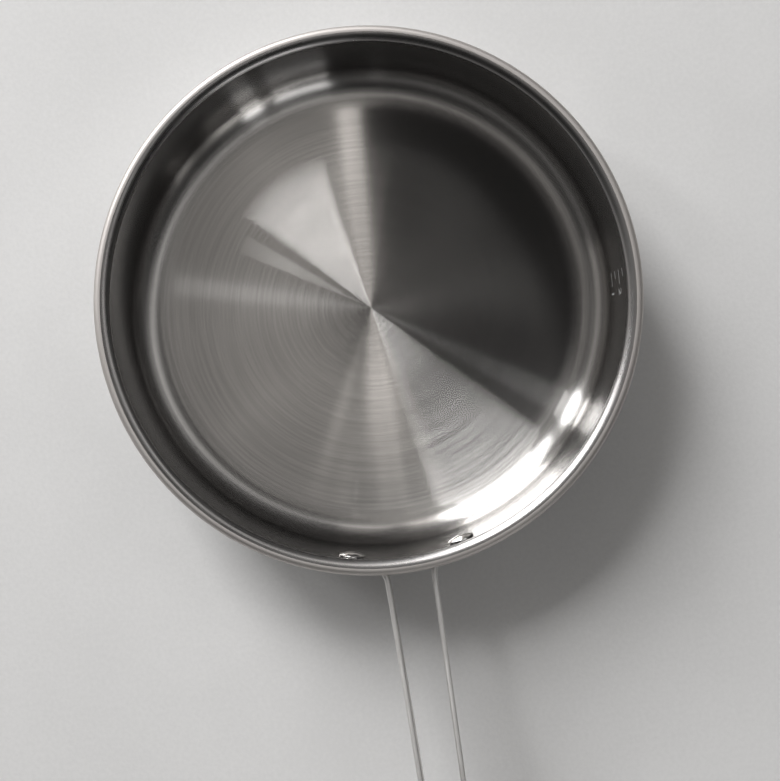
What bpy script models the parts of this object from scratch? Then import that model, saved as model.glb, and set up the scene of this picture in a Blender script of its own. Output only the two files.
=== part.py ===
"""Saute pan: a thin steel body with a pouring lip, a heat-spreading base and a strip handle.

Metres, +Z up. The origin is the centre of the flat underside, and the handle points
along -Y. The handle is one strip of steel standing on edge and bent like a hairpin. Its
two ends turn outwards into tabs that lie on the wall, and a rivet holds each tab.
"""

import math
from typing import NamedTuple

import bmesh
import bpy
from mathutils import Matrix, Vector

# Clearance between two pieces that touch on the real pan
GAP = 0.0003

# Pan body, inner face
WALL_TOP_RADIUS = 0.1331
WALL_LEAN_DEG = 2.5
CORNER_RADIUS = 0.0150
COOKING_DEPTH = 0.0580
SHEET = 0.0010

# Pouring lip, bent out of the wall, flared and rolled over at its edge
LIP_WIDTH = 0.0082
LIP_FLARE_DEG = 45.0
LIP_BEND_INSIDE = 0.0006
LIP_ROLL_INSIDE = 0.0017
LIP_CURL_DEG = 10.0

# Base, an aluminium disc closed in by a steel cap
SPREADER_THICKNESS = 0.0045
SPREADER_EDGE_RADIUS = 0.0012
CAP_SHEET = 0.0007
CAP_INSET = 0.0018

# Handle strip
STRIP = 0.0028
STRIP_EDGE_RADIUS = 0.0007
TAB_HEIGHT = 0.0135
GRIP_HEIGHT = 0.0200
LOOP_HEIGHT = 0.0160
ARM_SPACING = 0.0246
LOOP_SPACING = 0.0188
TAB_BEND_INSIDE = 0.0110
HANDLE_REACH = 0.1950
HANDLE_RISE = 0.0320
LIP_TO_STRIP = 0.0008
GRIP_PLACE = 0.45
RISE_EASE = 0.8

# Rivets, with the head inside the pan and the tail on the tab
SHANK_RADIUS = 0.0027
HEAD_RADIUS = 0.0068
HEAD_HEIGHT = 0.0020
HEAD_EDGE = 0.0005
TAIL_RADIUS = 0.0050
TAIL_HEIGHT = 0.0015
TAIL_EDGE = 0.0004
BEND_TO_TAIL = 0.0018

# Fineness of the round shapes
ROUND_STEPS = 84
RIVET_STEPS = 24
CORNER_STEPS = 6
BEND_STEPS = 3
FLARE_STEPS = 3
ROLL_STEPS = 5
DOME_STEPS = 4
TAB_TIP_STEPS = 5
TAB_STEPS = 3
TAB_BEND_STEPS = 9
ARM_STEPS = 12
LOOP_STEPS = 8
TAB_TIP_TURN_DEG = 80.0
SMOOTH_ANGLE_DEG = 35.0
MERGE_DISTANCE = 0.00001

STEEL = (0.63, 0.62, 0.61)
BRIGHT_STEEL = (0.72, 0.71, 0.70)
ALUMINIUM = (0.78, 0.79, 0.80)


class Sized(NamedTuple):
    """Sizes worked out once from the driving dimensions."""

    lean: float
    wall_tilt: float
    flare_tilt: float
    bend_radius: float
    flare_radius: float
    roll_radius: float
    spreader_bottom: float
    body_bottom: float
    cooking_level: float
    wall_top_level: float
    flat_radius: float
    rim_radius: float
    rivet_level: float
    tab_radius: float


class Station(NamedTuple):
    """One cross-section of the strip: its place, facing, height and lean."""

    x: float
    y: float
    z: float
    facing: float
    height: float
    lean: float


def work_out_sizes():
    """Everything that follows from the driving dimensions."""
    lean = math.radians(WALL_LEAN_DEG)
    wall_tilt = math.pi / 2 - lean
    flare_tilt = math.radians(LIP_FLARE_DEG)
    bend_radius = LIP_BEND_INSIDE + SHEET
    roll_radius = LIP_ROLL_INSIDE + SHEET
    rim_radius = WALL_TOP_RADIUS + LIP_WIDTH

    spreader_bottom = CAP_SHEET + GAP
    body_bottom = spreader_bottom + SPREADER_THICKNESS + GAP
    cooking_level = body_bottom + SHEET
    crown_level = cooking_level + COOKING_DEPTH

    bend_reach = bend_radius * (math.sin(wall_tilt) - math.sin(flare_tilt))
    bend_climb = bend_radius * (math.cos(flare_tilt) - math.cos(wall_tilt))
    flare_reach = LIP_WIDTH - bend_reach - roll_radius
    flare_radius = flare_reach / math.sin(flare_tilt)
    flare_climb = flare_radius * (1 - math.cos(flare_tilt))
    wall_top_level = crown_level - bend_climb - flare_climb

    foot_radius = WALL_TOP_RADIUS - (wall_top_level - cooking_level) * math.tan(lean)
    flat_radius = foot_radius - CORNER_RADIUS * math.tan(wall_tilt / 2)

    curl = math.radians(LIP_CURL_DEG)
    lip_bottom = crown_level - roll_radius * (1 + math.sin(curl)) - SHEET / 2
    tab_top = lip_bottom - LIP_TO_STRIP
    rivet_level = tab_top - TAB_HEIGHT / 2
    wall_at_rivet = WALL_TOP_RADIUS - (wall_top_level - rivet_level) * math.tan(lean)
    tab_radius = wall_at_rivet + (SHEET + GAP + STRIP / 2) / math.cos(lean)
    return Sized(
        lean=lean,
        wall_tilt=wall_tilt,
        flare_tilt=flare_tilt,
        bend_radius=bend_radius,
        flare_radius=flare_radius,
        roll_radius=roll_radius,
        spreader_bottom=spreader_bottom,
        body_bottom=body_bottom,
        cooking_level=cooking_level,
        wall_top_level=wall_top_level,
        flat_radius=flat_radius,
        rim_radius=rim_radius,
        rivet_level=rivet_level,
        tab_radius=tab_radius,
    )


def metal(name, colour, roughness):
    """A metal finish."""
    material = bpy.data.materials.new(name)
    material.use_nodes = True
    shader = material.node_tree.nodes["Principled BSDF"]
    shader.inputs["Base Color"].default_value = (*colour, 1.0)
    shader.inputs["Roughness"].default_value = roughness
    shader.inputs["Metallic"].default_value = 1.0
    material.diffuse_color = (*colour, 1.0)
    return material


def add_object(name, mesh, material=None):
    """Link a mesh into the scene as a named object."""
    obj = bpy.data.objects.new(name, mesh)
    bpy.context.scene.collection.objects.link(obj)
    if material:
        mesh.materials.append(material)
    return obj


def turned(name, profile, steps, material):
    """A round solid from its half outline, (radius, height) points, top to bottom."""
    mesh = bpy.data.meshes.new(name)
    points = [(radius, 0.0, level) for radius, level in profile]
    edges = [(i, i + 1) for i in range(len(points) - 1)]
    mesh.from_pydata(points, edges, [])
    obj = add_object(name, mesh, material)
    screw = obj.modifiers.new("turn", "SCREW")
    screw.steps = steps
    screw.render_steps = steps
    screw.use_merge_vertices = True
    screw.merge_threshold = MERGE_DISTANCE
    screw.use_smooth_shade = True
    return obj


def spread(start, stop, steps):
    """Evenly spaced values from start to stop, both included."""
    return [start + (stop - start) * i / steps for i in range(steps + 1)]


def smooth_step(t):
    """An ease from 0 to 1 that starts and ends level."""
    t = min(max(t, 0.0), 1.0)
    return t * t * (3.0 - 2.0 * t)


def upper_face(size):
    """The cooking side of the sheet as (radius, level, tilt), from the axis to the lip's edge.

    Tilt is how far the face's normal leans towards the axis, and below zero away from it.
    """
    face = [(0.0, size.cooking_level, 0.0)]
    for tilt in spread(0.0, size.wall_tilt, CORNER_STEPS):
        radius = size.flat_radius + CORNER_RADIUS * math.sin(tilt)
        level = size.cooking_level + CORNER_RADIUS * (1 - math.cos(tilt))
        face.append((radius, level, tilt))
    face.append((WALL_TOP_RADIUS, size.wall_top_level, size.wall_tilt))

    edge_tilt = -math.pi / 2 - math.radians(LIP_CURL_DEG)
    bends = [
        (size.bend_radius, size.flare_tilt, BEND_STEPS),
        (size.flare_radius, 0.0, FLARE_STEPS),
        (size.roll_radius, edge_tilt, ROLL_STEPS),
    ]
    for bend, end_tilt, steps in bends:
        radius, level, start_tilt = face[-1]
        centre_radius = radius + bend * math.sin(start_tilt)
        centre_level = level - bend * math.cos(start_tilt)
        for tilt in spread(start_tilt, end_tilt, steps)[1:]:
            radius = centre_radius - bend * math.sin(tilt)
            level = centre_level + bend * math.cos(tilt)
            face.append((radius, level, tilt))
    return face


def make_body(size, material):
    """The one-piece body: cooking surface, wall and pouring lip."""
    face = upper_face(size)
    top = [(radius, level) for radius, level, _ in face]
    under = [
        (radius + SHEET * math.sin(tilt), level - SHEET * math.cos(tilt))
        for radius, level, tilt in face
    ]
    radius, level, tilt = face[-1]
    middle_radius = radius + SHEET / 2 * math.sin(tilt)
    middle_level = level - SHEET / 2 * math.cos(tilt)
    edge = []
    for turn in (math.pi / 4, math.pi / 2, 3 * math.pi / 4):
        round_tilt = tilt - turn
        round_radius = middle_radius - SHEET / 2 * math.sin(round_tilt)
        round_level = middle_level + SHEET / 2 * math.cos(round_tilt)
        edge.append((round_radius, round_level))
    return turned("pan_body", top + edge + under[::-1], ROUND_STEPS, material)


def rounded_foot(radius, bottom, corner):
    """The lower outer edge of a disc, from its side down to its flat bottom."""
    points = []
    for turn in spread(0.0, math.pi / 2, BEND_STEPS):
        points.append(
            (
                radius - corner * (1 - math.cos(turn)),
                bottom + corner * (1 - math.sin(turn)),
            )
        )
    return points


def make_spreader(size, material):
    """The aluminium disc that spreads the heat."""
    radius = size.flat_radius - CAP_INSET - CAP_SHEET - GAP
    top = size.body_bottom - GAP
    profile = [(0.0, top), (radius, top)]
    profile += rounded_foot(radius, size.spreader_bottom, SPREADER_EDGE_RADIUS)
    profile.append((0.0, size.spreader_bottom))
    return turned("heat_spreader", profile, ROUND_STEPS, material)


def make_cap(size, material):
    """The steel cap that closes in the spreader. The pan stands on it."""
    outer_radius = size.flat_radius - CAP_INSET
    inner_radius = outer_radius - CAP_SHEET
    inner_corner = SPREADER_EDGE_RADIUS + GAP
    top = size.body_bottom - GAP
    inside = rounded_foot(inner_radius, CAP_SHEET, inner_corner)
    profile = [(0.0, CAP_SHEET)] + inside[::-1]
    profile += [(inner_radius, top), (outer_radius, top)]
    profile += rounded_foot(outer_radius, 0.0, inner_corner + CAP_SHEET)
    profile.append((0.0, 0.0))
    return turned("base_cap", profile, ROUND_STEPS, material)


def strip_layout(size):
    """Where the strip's straight and round stretches meet, for its right half in plan."""
    arm_x = ARM_SPACING / 2
    rim_y = -size.rim_radius
    loop_radius = LOOP_SPACING / 2
    end_y = rim_y - HANDLE_REACH
    loop_y = end_y + loop_radius + STRIP / 2

    run = rim_y - loop_y
    slant = math.acos(loop_radius / math.hypot(arm_x, run)) - math.atan2(run, arm_x)
    bend = TAB_BEND_INSIDE + STRIP / 2
    out = Vector((math.cos(slant), -math.sin(slant)))
    along = Vector((-math.sin(slant), -math.cos(slant)))

    # The bend rests against the tab's circle, so its centre is this far from the axis.
    centre_distance = size.tab_radius + bend
    start = Vector((arm_x, rim_y)) + out * bend
    half_b = start.dot(along)
    step = -half_b + math.sqrt(half_b**2 - start.dot(start) + centre_distance**2)
    bend_centre = start + along * step
    tab_start = math.atan2(bend_centre.x, -bend_centre.y)
    rivet_turn = tab_start + (TAIL_RADIUS + BEND_TO_TAIL) / size.tab_radius
    return {
        "slant": slant,
        "out": out,
        "bend": bend,
        "bend_centre": bend_centre,
        "tab_start": tab_start,
        "rivet_turn": rivet_turn,
        "loop_centre": Vector((0.0, loop_y)),
        "loop_radius": loop_radius,
        "end_y": end_y + STRIP / 2,
    }


def strip_height(progress):
    """The strip's height along an arm: low at the tab, tallest in the grip."""
    if progress < GRIP_PLACE:
        ease = smooth_step(progress / GRIP_PLACE)
        return TAB_HEIGHT + (GRIP_HEIGHT - TAB_HEIGHT) * ease
    ease = smooth_step((progress - GRIP_PLACE) / (1 - GRIP_PLACE))
    return GRIP_HEIGHT + (LOOP_HEIGHT - GRIP_HEIGHT) * ease


def half_strip(size, plan):
    """The stations from the tip of the right tab to the middle of the end loop."""
    stations = []
    tab_half = TAB_HEIGHT / 2

    def add_on_tab(turn, height):
        x = size.tab_radius * math.sin(turn)
        y = -size.tab_radius * math.cos(turn)
        facing = turn - math.pi / 2
        stations.append(Station(x, y, size.rivet_level, facing, height, size.lean))

    for tip in spread(math.radians(TAB_TIP_TURN_DEG), 0.0, TAB_TIP_STEPS):
        turn = plan["rivet_turn"] + tab_half * math.sin(tip) / size.tab_radius
        add_on_tab(turn, TAB_HEIGHT * math.cos(tip))
    for turn in spread(plan["rivet_turn"], plan["tab_start"], TAB_STEPS)[1:]:
        add_on_tab(turn, TAB_HEIGHT)

    first_facing = plan["tab_start"] - math.pi / 2
    facings = spread(first_facing, -plan["slant"], TAB_BEND_STEPS)
    for i, facing in enumerate(facings[1:], start=1):
        point = plan["bend_centre"] - plan["bend"] * Vector((math.cos(facing), math.sin(facing)))
        lean = size.lean * (1 - smooth_step(i / TAB_BEND_STEPS))
        stations.append(Station(point.x, point.y, size.rivet_level, facing, TAB_HEIGHT, lean))

    arm_start = Vector((stations[-1].x, stations[-1].y))
    arm_end = plan["loop_centre"] + plan["loop_radius"] * plan["out"]
    arm_length = arm_start.y - plan["end_y"]

    def add_on_arm(x, y, facing):
        progress = (arm_start.y - y) / arm_length
        climb = smooth_step(progress * RISE_EASE) / smooth_step(RISE_EASE)
        level = size.rivet_level + HANDLE_RISE * climb
        stations.append(Station(x, y, level, facing, strip_height(progress), 0.0))

    for t in spread(0.0, 1.0, ARM_STEPS)[1:]:
        point = arm_start.lerp(arm_end, t)
        add_on_arm(point.x, point.y, -plan["slant"])
    for facing in spread(-plan["slant"], -math.pi / 2, LOOP_STEPS)[1:]:
        x = plan["loop_radius"] * math.cos(facing)
        y = plan["loop_centre"].y + plan["loop_radius"] * math.sin(facing)
        add_on_arm(x, y, facing)
    return stations


def section_ring(station):
    """The strip's rounded rectangular section at one station."""
    outward = Vector((math.cos(station.facing), math.sin(station.facing), 0.0))
    upward = outward * math.sin(station.lean) + Vector((0.0, 0.0, math.cos(station.lean)))
    sideways = outward * math.cos(station.lean) - Vector((0.0, 0.0, math.sin(station.lean)))
    centre = Vector((station.x, station.y, station.z))
    half_thickness = STRIP / 2 - STRIP_EDGE_RADIUS
    half_height = station.height / 2 - STRIP_EDGE_RADIUS
    ring = []
    corners = [(1, 1, 0.0), (-1, 1, 0.5), (-1, -1, 1.0), (1, -1, 1.5)]
    for side, end, first in corners:
        for quarter in (0.0, 0.25, 0.5):
            turn = math.pi * (first + quarter)
            a = side * half_thickness + STRIP_EDGE_RADIUS * math.cos(turn)
            b = end * half_height + STRIP_EDGE_RADIUS * math.sin(turn)
            ring.append(centre + sideways * a + upward * b)
    return ring


def make_strip(size, plan, material):
    """The handle: one strip, swept from the right tab round the loop to the left tab."""
    half = half_strip(size, plan)
    mirrored = [
        s._replace(x=-s.x, facing=math.pi - s.facing) for s in reversed(half[:-1])
    ]
    mesh = bpy.data.meshes.new("handle_strip")
    bm = bmesh.new()
    rings = [[bm.verts.new(p) for p in section_ring(s)] for s in half + mirrored]
    for near, far in zip(rings, rings[1:]):
        for i in range(len(near)):
            j = (i + 1) % len(near)
            bm.faces.new((near[i], near[j], far[j], far[i]))
    bm.faces.new(rings[0])
    bm.faces.new(rings[-1])
    bmesh.ops.recalc_face_normals(bm, faces=bm.faces)
    bm.to_mesh(mesh)
    bm.free()
    mesh.shade_smooth()
    mesh.set_sharp_from_angle(angle=math.radians(SMOOTH_ANGLE_DEG))
    return add_object("handle_strip", mesh, material)


def rivet_frame(size, plan, side):
    """The rivet's place: origin on the wall's inner face, local +Z into the pan."""
    turn = side * plan["rivet_turn"]
    outward = Vector((math.sin(turn), -math.cos(turn), 0.0))
    drop = size.wall_top_level - size.rivet_level
    wall_radius = WALL_TOP_RADIUS - drop * math.tan(size.lean)
    origin = outward * wall_radius + Vector((0.0, 0.0, size.rivet_level))
    inward = -outward * math.cos(size.lean) + Vector((0.0, 0.0, math.sin(size.lean)))
    return Matrix.Translation(origin) @ inward.to_track_quat("Z", "Y").to_matrix().to_4x4()


def dome(radius, height, edge, base, direction):
    """A low dome on a short straight edge, (radius, level) points from its top outwards."""
    crown = height - edge
    ball = (radius**2 + crown**2) / (2 * crown)
    reach = math.asin(radius / ball)
    points = []
    for turn in spread(0.0, reach, DOME_STEPS):
        level = base + direction * (height - ball * (1 - math.cos(turn)))
        points.append((ball * math.sin(turn), level))
    points.append((radius, base))
    return points


def make_rivet(name, frame, size, material):
    """One rivet, with its head seated on the wall and its tail on the tab."""
    hollow = HEAD_RADIUS**2 / (2 * WALL_TOP_RADIUS)
    seat = GAP + hollow
    tail_seat = -(SHEET + GAP + STRIP + GAP)
    profile = dome(HEAD_RADIUS, HEAD_HEIGHT, HEAD_EDGE, seat, 1)
    profile += [(SHANK_RADIUS, seat), (SHANK_RADIUS, tail_seat)]
    profile += dome(TAIL_RADIUS, TAIL_HEIGHT, TAIL_EDGE, tail_seat, -1)[::-1]
    rivet = turned(name, profile, RIVET_STEPS, material)
    rivet.matrix_world = frame
    return rivet


def make_hole_cutter(name, frame):
    """The drill for one rivet hole, longer than the wall and the tab together."""
    reach = 2 * (SHEET + GAP + STRIP + GAP)
    radius = SHANK_RADIUS + GAP
    profile = [(0.0, reach), (radius, reach), (radius, -reach), (0.0, -reach)]
    cutter = turned(name, profile, RIVET_STEPS, None)
    cutter.matrix_world = frame
    cutter.hide_render = True
    cutter.display_type = "WIRE"
    return cutter


def drill(obj, cutters):
    """Cut every rivet hole out of one piece."""
    for cutter in cutters:
        cut = obj.modifiers.new(cutter.name, "BOOLEAN")
        cut.operation = "DIFFERENCE"
        cut.object = cutter


def main():
    for obj in list(bpy.data.objects):
        bpy.data.objects.remove(obj, do_unlink=True)

    size = work_out_sizes()
    plan = strip_layout(size)
    body = make_body(size, metal("spun_steel", STEEL, 0.22))
    make_spreader(size, metal("cast_aluminium", ALUMINIUM, 0.45))
    make_cap(size, metal("base_steel", STEEL, 0.30))
    strip = make_strip(size, plan, metal("strip_steel", BRIGHT_STEEL, 0.18))

    rivet_steel = metal("rivet_steel", BRIGHT_STEEL, 0.15)
    cutters = []
    for name, side in (("left", -1), ("right", 1)):
        frame = rivet_frame(size, plan, side)
        make_rivet(f"rivet_{name}", frame, size, rivet_steel)
        cutters.append(make_hole_cutter(f"{name}_hole", frame))
    drill(body, cutters)
    drill(strip, cutters)


main()
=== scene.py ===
"""Saute pan: fine shapes, finishes, light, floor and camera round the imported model.

Metres, +Z up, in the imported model's own frame. The origin is the centre of the flat
underside and the handle points along -Y.
"""

import logging
import math
from dataclasses import dataclass
from enum import Enum

import bmesh
import bpy
from mathutils import Matrix, Vector


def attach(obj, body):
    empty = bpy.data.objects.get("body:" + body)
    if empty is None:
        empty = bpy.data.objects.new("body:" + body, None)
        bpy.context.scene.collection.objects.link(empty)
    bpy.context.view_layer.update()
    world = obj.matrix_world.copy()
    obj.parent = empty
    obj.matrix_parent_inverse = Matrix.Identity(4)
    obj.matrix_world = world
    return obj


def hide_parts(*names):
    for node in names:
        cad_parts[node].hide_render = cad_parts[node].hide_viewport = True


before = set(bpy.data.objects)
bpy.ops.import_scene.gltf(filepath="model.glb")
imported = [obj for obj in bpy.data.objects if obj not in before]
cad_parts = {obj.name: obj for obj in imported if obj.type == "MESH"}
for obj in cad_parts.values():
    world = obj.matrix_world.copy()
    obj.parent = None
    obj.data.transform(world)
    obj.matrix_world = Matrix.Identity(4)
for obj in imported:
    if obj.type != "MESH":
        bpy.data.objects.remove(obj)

log = logging.getLogger("saute_pan")

BODY = "root"
PICTURE_PX = (780, 781)
SENSOR_MM = 36.0
SHARP_DEG = 40.0
CUBIC_METRES_PER_LITRE = 0.001
# Points closer than this become one.
WELD = 0.00001
# The values of a noise between which grain, marks, wear and films of wear change.
NOISE_SPAN = (0.3, 0.7)
MARK_SPAN = (0.35, 0.7)
WEAR_SPAN = (0.3, 0.8)
WIPE_SPAN = (0.42, 0.75)
HANDLED_SPAN = (0.4, 0.7)
WHITE = (1.0, 1.0, 1.0)
WARM = (1.0, 0.96, 0.92)

Colour = tuple[float, float, float]
Point = tuple[float, float]
Settings = dict[str, float]
Material = bpy.types.Material
Mesh = bpy.types.Mesh
Node = bpy.types.Node
Object = bpy.types.Object
Socket = bpy.types.NodeSocket


class Zone(Enum):
    """The differently finished bands of the body's sheet."""

    INSIDE = 0
    FLARE = 1
    LIP = 2
    OUTSIDE = 3


class Side(Enum):
    """The two arms of the handle, seen with the handle towards the viewer."""

    LEFT = -1
    RIGHT = 1


# Node trees


@dataclass
class NodeGraph:
    """A node tree, with short ways to add and join nodes.

    Attributes:
        tree: The shader or geometry tree that is being built.
    """

    tree: bpy.types.NodeTree

    def add(self, kind: str, feeds: dict | None = None, **options: object) -> Node:
        """Adds a node.

        Args:
            kind: The node's type name.
            feeds: Input name or number, and the value or socket that goes into it.
            options: Properties of the node, such as its operation.

        Returns:
            The new node.
        """
        node = self.tree.nodes.new(kind)
        for name, value in options.items():
            setattr(node, name, value)
        self.feed(node, feeds or {})
        return node

    def feed(self, node: Node, feeds: dict) -> None:
        """Joins a node's inputs to sockets, or gives them plain values.

        Args:
            node: The node.
            feeds: Input name or number, and the value or socket that goes into it.
        """
        for key, value in feeds.items():
            if isinstance(value, Socket):
                self.tree.links.new(value, node.inputs[key])
            else:
                node.inputs[key].default_value = value

    def math(self, operation: str, *values: object) -> Socket:
        """Adds a Math node on numbers or sockets, in order, and gives its result."""
        return self.add("ShaderNodeMath", dict(enumerate(values)), operation=operation).outputs[0]

    def vector(self, operation: str, *values: object) -> Socket:
        """Adds a Vector Math node and gives its result, a number for a length or a distance."""
        node = self.add("ShaderNodeVectorMath", dict(enumerate(values)), operation=operation)
        return node.outputs["Value" if operation in ("LENGTH", "DISTANCE") else "Vector"]

    def scale(self, vector: object, factor: object) -> Socket:
        """Multiplies a vector or a colour by a number."""
        feeds = {0: vector, "Scale": factor}
        return self.add("ShaderNodeVectorMath", feeds, operation="SCALE").outputs["Vector"]

    def combine(self, x: object = 0.0, y: object = 0.0, z: object = 0.0) -> Socket:
        """Makes a vector of three numbers or sockets."""
        return self.add("ShaderNodeCombineXYZ", {0: x, 1: y, 2: z}).outputs[0]

    def split(self, vector: Socket) -> list[Socket]:
        """Splits a vector into its three numbers."""
        return list(self.add("ShaderNodeSeparateXYZ", {0: vector}).outputs)

    def ramp(self, value: Socket, low: float, high: float, start: float, end: float) -> Socket:
        """Maps a value smoothly: start at and below low, end at and above high."""
        feeds = dict(enumerate((value, low, high, start, end)))
        return self.add("ShaderNodeMapRange", feeds, interpolation_type="SMOOTHSTEP").outputs[0]

    def noise(self, vector: Socket, scale: float, detail: float, rough: float) -> Socket:
        """Adds a Noise Texture laid out by a vector. Its value is about 0.5 on average."""
        feeds = {"Vector": vector, "Scale": scale, "Detail": detail, "Roughness": rough}
        return self.add("ShaderNodeTexNoise", feeds).outputs[0]

    def place(self) -> Socket:
        """The object coordinates."""
        return self.add("ShaderNodeTexCoord").outputs["Object"]


class RoundCoordinates:
    """Object coordinates turned into radius and level round the pan's axis.

    Attributes:
        graph: The material's graph.
        place: The object coordinates.
        radial: The direction away from the axis.
        radius: The distance from the axis.
        level: The height.
        normal: The surface's normal.
        across: The direction along the surface that crosses every ring.
    """

    def __init__(self, graph: NodeGraph) -> None:
        """Builds the nodes in a material's graph.

        Args:
            graph: The material's graph.
        """
        self.graph = graph
        self.place = graph.place()
        x, y, self.level = graph.split(self.place)
        flat = graph.combine(x, y)
        self.radius = graph.vector("LENGTH", flat)
        self.radial = graph.vector("NORMALIZE", flat)
        self.normal = graph.add("ShaderNodeNewGeometry").outputs["Normal"]
        around = graph.vector("CROSS_PRODUCT", (0.0, 0.0, 1.0), self.radial)
        self.across = graph.vector("CROSS_PRODUCT", around, self.normal)

    def rings(self, per_metre: float, per_turn: float, detail: float, rough: float) -> Socket:
        """A noise of rings round the axis, which close without a seam.

        Args:
            per_metre: How fast it changes across the floor and up the wall.
            per_turn: How fast it changes round the axis.
            detail: How many finer layers it has.
            rough: How strong the finer layers are.

        Returns:
            The noise value's socket.
        """
        graph = self.graph
        run = graph.math("MULTIPLY", graph.math("ADD", self.radius, self.level), per_metre)
        layout = graph.vector("ADD", graph.scale(self.radial, per_turn), graph.combine(z=run))
        return graph.noise(layout, 1.0, detail, rough)


# Finishes


@dataclass(frozen=True)
class Finish:
    """What every finish has.

    Attributes:
        name: The material's name.
        colour: Its main colour, linear.
    """

    name: str
    colour: Colour

    def build(self) -> Material:
        """Builds the material round one Principled shader.

        Returns:
            The finished material.
        """
        material = bpy.data.materials.new(self.name)
        material.use_nodes = True
        material.diffuse_color = (*self.colour, 1.0)
        graph = NodeGraph(material.node_tree)
        shader = graph.tree.nodes["Principled BSDF"]
        graph.feed(shader, {"Base Color": (*self.colour, 1.0), "Metallic": 1.0})
        self.paint(graph, shader)
        return material

    def paint(self, graph: NodeGraph, shader: Node) -> None:
        """Adds the finish's own nodes to its material's graph and shader."""
        raise NotImplementedError

    def surface(
        self,
        graph: NodeGraph,
        shader: Node,
        tone: Socket,
        roughness: object,
        height: Socket,
        relief: float,
        strength: float = 1.0,
    ) -> None:
        """Gives a shader its toned colour, its roughness and a fine relief.

        Args:
            graph: The material's graph.
            shader: Its shader.
            tone: What the colour is multiplied by.
            roughness: The roughness, a number or a socket.
            height: The relief's height.
            relief: The relief's depth in metres.
            strength: How strongly the relief shows.
        """
        feeds = {"Strength": strength, "Distance": relief, "Height": height}
        bump = graph.add("ShaderNodeBump", feeds).outputs[0]
        colour = graph.scale(self.colour, tone)
        graph.feed(shader, {"Base Color": colour, "Roughness": roughness, "Normal": bump})


@dataclass(frozen=True)
class TurnedSteel(Finish):
    """Steel brushed in circles round the axis, so that lamps show as radial streaks.

    The brush leaves narrow grooves. Most of the surface is the smooth land between them,
    and their flanks lean outwards and inwards.

    Attributes:
        land_roughness: Roughness of the lands across the marks: on the floor, in the band
            where the floor ends, and on the wall.
        flank_roughness: Roughness of the flanks, seen across the marks.
        flank_lean_deg: How far the flanks lean.
        drift_start: The radius where the flanks start to face more inwards.
        inward_per_metre: How much more they do, as a slope for each metre of radius.
        share: How much of the surface the flanks take at the low level.
        high_share: How much they take at the high level.
        levels: The low level and the high level.
        band: The radii between which the roughness changes from the floor's to the band's.
        painted_wall_shade: Painted shade: how bright the metal is painted at the high level, where 1 is as at
            the low one.
        lines_per_metre: How close the visible marks are.
        strength: How much the inner flanks' share changes from mark to mark, from 0 to 1.
        line_tone: How much darker the deepest marks are than the metal between them.
        broader: How many times wider the broad marks are than the visible ones.
        broad_tone: How bright the metal is in the deepest broad marks.
    """

    land_roughness: tuple[float, float, float]
    flank_roughness: float
    flank_lean_deg: float
    drift_start: float
    inward_per_metre: float
    share: float
    high_share: float
    levels: tuple[float, float]
    band: tuple[float, float]
    painted_wall_shade: float
    lines_per_metre: float
    strength: float
    line_tone: float
    broader: float = 20.0
    broad_tone: float = 0.96

    def paint(self, graph: NodeGraph, shader: Node) -> None:
        """Dresses the lands, and mixes a shader for each flank with theirs.

        Args:
            graph: The material's graph.
            shader: The lands' shader.
        """
        around = RoundCoordinates(graph)
        fine = around.rings(self.lines_per_metre, per_turn=1.2, detail=3.0, rough=0.65)
        broad = around.rings(self.lines_per_metre / self.broader, per_turn=0.6, detail=3.0, rough=0.6)
        tone = graph.ramp(broad, *NOISE_SPAN, self.broad_tone, 1.0)
        # Painted shade: the metal is painted darker up the wall, to stand in for the dark room that the wall
        # reflects.
        tone = graph.math("MULTIPLY", tone, graph.ramp(around.level, *self.levels, 1.0, self.painted_wall_shade))
        tone = graph.math("MULTIPLY", tone, graph.ramp(fine, *NOISE_SPAN, 1.0 - self.line_tone, 1.0))
        brushed = {
            "Base Color": graph.scale(self.colour, tone),
            "Metallic": 1.0,
            "Anisotropic": 1.0,
            "Tangent": around.across,
        }
        floor, edge, wall = self.land_roughness
        edge_on = graph.ramp(around.radius, *self.band, 0.0, edge - floor)
        wall_on = graph.ramp(around.level, *self.levels, 0.0, wall - edge)
        roughness = graph.math("ADD", graph.math("ADD", edge_on, wall_on), floor)
        graph.feed(shader, {**brushed, "Roughness": roughness})

        beyond = graph.math("MAXIMUM", graph.math("SUBTRACT", around.radius, self.drift_start), 0.0)
        drift = graph.math("MULTIPLY", beyond, self.inward_per_metre)
        share = graph.ramp(around.level, *self.levels, self.share / 2, self.high_share / 2)
        marks = graph.ramp(fine, *NOISE_SPAN, 1.0 - self.strength, 1.0 + self.strength)
        slope = math.tan(math.radians(self.flank_lean_deg))
        whole = shader.outputs[0]
        for side, part in ((slope, share), (-slope, graph.math("MULTIPLY", share, marks))):
            lean = graph.scale(around.across, graph.math("SUBTRACT", side, drift))
            normal = graph.vector("NORMALIZE", graph.vector("ADD", around.normal, lean))
            feeds = {**brushed, "Roughness": self.flank_roughness, "Normal": normal}
            flank = graph.add("ShaderNodeBsdfPrincipled", feeds).outputs[0]
            whole = graph.add("ShaderNodeMixShader", {0: part, 1: whole, 2: flank}).outputs[0]
        graph.feed(graph.tree.nodes["Material Output"], {"Surface": whole})


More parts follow.
